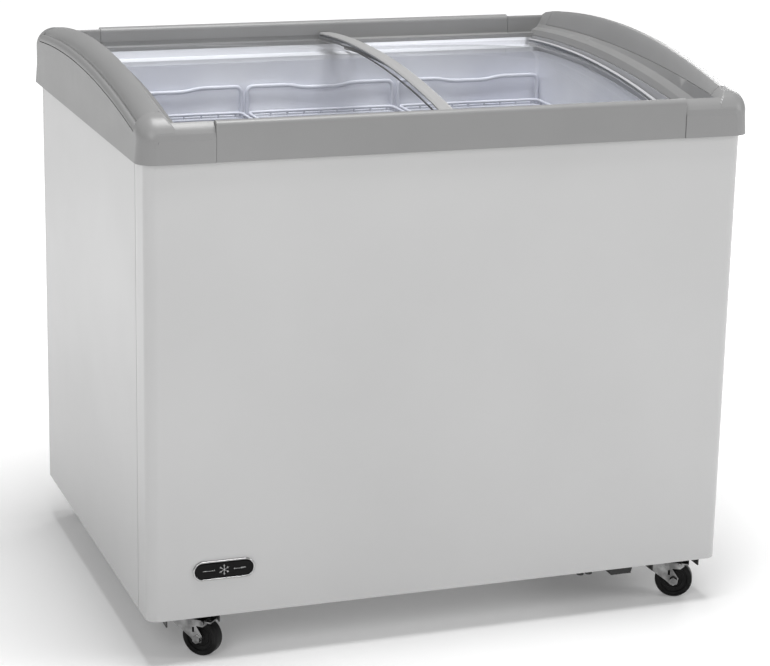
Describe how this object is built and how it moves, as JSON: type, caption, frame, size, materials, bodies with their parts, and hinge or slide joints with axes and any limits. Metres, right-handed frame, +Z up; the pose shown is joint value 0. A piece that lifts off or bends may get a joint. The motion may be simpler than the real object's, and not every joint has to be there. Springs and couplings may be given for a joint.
{
  "type": "chest freezer",
  "caption": "Display chest freezer with a white steel cabinet, a grey arched top frame, sliding curved glass lids, hanging baskets and swivel casters.",
  "frame": {"origin": "on the floor, at the centre of the footprint's bounding box", "axes": "+Z up, the front faces -Y, +X to the right along the longest side"},
  "size_m": [0.922, 0.702, 0.846],
  "materials": {
    "white_steel": "satin white painted steel sheet",
    "liner": "smooth white coated liner",
    "foam": "foamed insulation",
    "zinc_sheet": "zinc coated sheet",
    "black_steel": "black painted steel",
    "grey_frame": "smooth grey moulded plastic",
    "light_trim": "light grey plastic trim",
    "white_plastic": "smooth white plastic profile",
    "lid_glass": "clear curved safety glass",
    "black_rubber": "black seal rubber",
    "black_plastic": "gloss black plastic",
    "basket_wire": "white plastic coated wire",
    "copper": "bare copper",
    "chrome_trim": "bright rim",
    "zinc": "bright zinc plated steel",
    "black_wheel": "hard black caster tread"
  },
  "bodies": {
    "root": {"front_panel": "white_steel", "left_side_panel": "white_steel", "right_side_panel": "white_steel", "back_panel": "white_steel", "inner_liner": "liner", "foam_insulation": "foam", "front_basket_hanger": "liner", "rear_basket_hanger": "liner", "base_pan": "zinc_sheet", "compressor_tray": "black_steel", "left_base_rail": "black_steel", "right_base_rail": "black_steel", "front_rail": "grey_frame", "back_rail": "grey_frame", "right_end_cap": "grey_frame", "left_end_cap": "grey_frame", "right_arch_cover": "grey_frame", "left_arch_cover": "grey_frame", "front_lid_track": "white_plastic", "back_lid_track": "white_plastic", "left_throat_strip": "white_plastic", "right_throat_strip": "white_plastic", "compressor": "black_steel", "start_relay_box": "black_plastic", "filter_drier": "copper", "vent_grille": "grey_frame", "thermostat_housing": "grey_frame", "cord_gland": "black_rubber", "drain_plug": "liner", "badge_rim": "chrome_trim", "badge_plate": "black_plastic", "front_left_plate": "zinc", "front_right_plate": "zinc", "rear_left_plate": "zinc", "rear_right_plate": "zinc"},
    "upper_lid": {"upper_glass": "lid_glass", "centre_bar": "light_trim", "centre_bar_gasket": "black_rubber", "upper_lid_left_trim": "light_trim"},
    "lower_lid": {"lower_glass": "lid_glass", "lower_lid_left_trim": "black_rubber", "lower_lid_right_trim": "white_plastic"},
    "left_basket_body": {"basket_left": "basket_wire"},
    "centre_basket_body": {"basket_centre": "basket_wire"},
    "right_basket_body": {"basket_right": "basket_wire"},
    "thermostat_dial": {"thermostat_knob": "black_plastic"},
    "front_left_swivel_body": {"front_left_fork": "zinc", "front_left_axle": "zinc"},
    "front_left_wheel_body": {"front_left_wheel": "black_wheel"},
    "front_left_brake_body": {"front_left_brake": "zinc"},
    "front_right_swivel_body": {"front_right_fork": "zinc", "front_right_axle": "zinc"},
    "front_right_wheel_body": {"front_right_wheel": "black_wheel"},
    "front_right_brake_body": {"front_right_brake": "zinc"},
    "rear_left_swivel_body": {"rear_left_fork": "zinc", "rear_left_axle": "zinc"},
    "rear_left_wheel_body": {"rear_left_wheel": "black_wheel"},
    "rear_right_swivel_body": {"rear_right_fork": "zinc", "rear_right_axle": "zinc"},
    "rear_right_wheel_body": {"rear_right_wheel": "black_wheel"}
  },
  "joints": [
    {"name": "upper_lid_slide", "type": "slide", "parent": "root", "child": "upper_lid", "axis": [1, 0, 0], "range_m": [0, 0.354]},
    {"name": "lower_lid_slide", "type": "slide", "parent": "root", "child": "lower_lid", "axis": [1, 0, 0], "range_m": [-0.427, 0]},
    {"name": "left_basket_lift", "type": "slide", "parent": "root", "child": "left_basket_body", "axis": [0, 0, 1], "range_m": [0, 0.004]},
    {"name": "centre_basket_lift", "type": "slide", "parent": "root", "child": "centre_basket_body", "axis": [0, 0, 1], "range_m": [0, 0.004]},
    {"name": "right_basket_lift", "type": "slide", "parent": "root", "child": "right_basket_body", "axis": [0, 0, 1], "range_m": [0, 0.004]},
    {"name": "thermostat_turn", "type": "hinge", "parent": "root", "child": "thermostat_dial", "pos_m": [0.4525, -0.215, 0.192], "axis": [1, 0, 0], "range_deg": [0, 270]},
    {"name": "front_left_swivel", "type": "hinge", "parent": "root", "child": "front_left_swivel_body", "pos_m": [-0.38, -0.29, 0.0695], "axis": [0, 0, 1], "continuous": true},
    {"name": "front_left_roll", "type": "hinge", "parent": "front_left_swivel_body", "child": "front_left_wheel_body", "pos_m": [-0.36303, -0.30697, 0.029], "axis": [0.7071, 0.7071, 0], "continuous": true},
    {"name": "front_left_brake_rock", "type": "hinge", "parent": "front_left_swivel_body", "child": "front_left_brake_body", "pos_m": [-0.38283, -0.3098, 0.0545], "axis": [0.7071, 0.7071, 0], "range_deg": [0, 2.2]},
    {"name": "front_right_swivel", "type": "hinge", "parent": "root", "child": "front_right_swivel_body", "pos_m": [0.38, -0.29, 0.0695], "axis": [0, 0, 1], "continuous": true},
    {"name": "front_right_roll", "type": "hinge", "parent": "front_right_swivel_body", "child": "front_right_wheel_body", "pos_m": [0.40129, -0.30108, 0.029], "axis": [0.4618, 0.887, 0], "continuous": true},
    {"name": "front_right_brake_rock", "type": "hinge", "parent": "front_right_swivel_body", "child": "front_right_brake_body", "pos_m": [0.38326, -0.30973, 0.0545], "axis": [0.4618, 0.887, 0], "range_deg": [0, 2.2]},
    {"name": "rear_left_swivel", "type": "hinge", "parent": "root", "child": "rear_left_swivel_body", "pos_m": [-0.38, 0.29, 0.0695], "axis": [0, 0, 1], "continuous": true},
    {"name": "rear_left_roll", "type": "hinge", "parent": "rear_left_swivel_body", "child": "rear_left_wheel_body", "pos_m": [-0.39412, 0.3094, 0.029], "axis": [-0.8085, -0.5885, 0], "continuous": true},
    {"name": "rear_right_swivel", "type": "hinge", "parent": "root", "child": "rear_right_swivel_body", "pos_m": [0.38, 0.29, 0.0695], "axis": [0, 0, 1], "continuous": true},
    {"name": "rear_right_roll", "type": "hinge", "parent": "rear_right_swivel_body", "child": "rear_right_wheel_body", "pos_m": [0.39492, 0.3088, 0.029], "axis": [-0.7833, 0.6216, 0], "continuous": true}
  ]
}
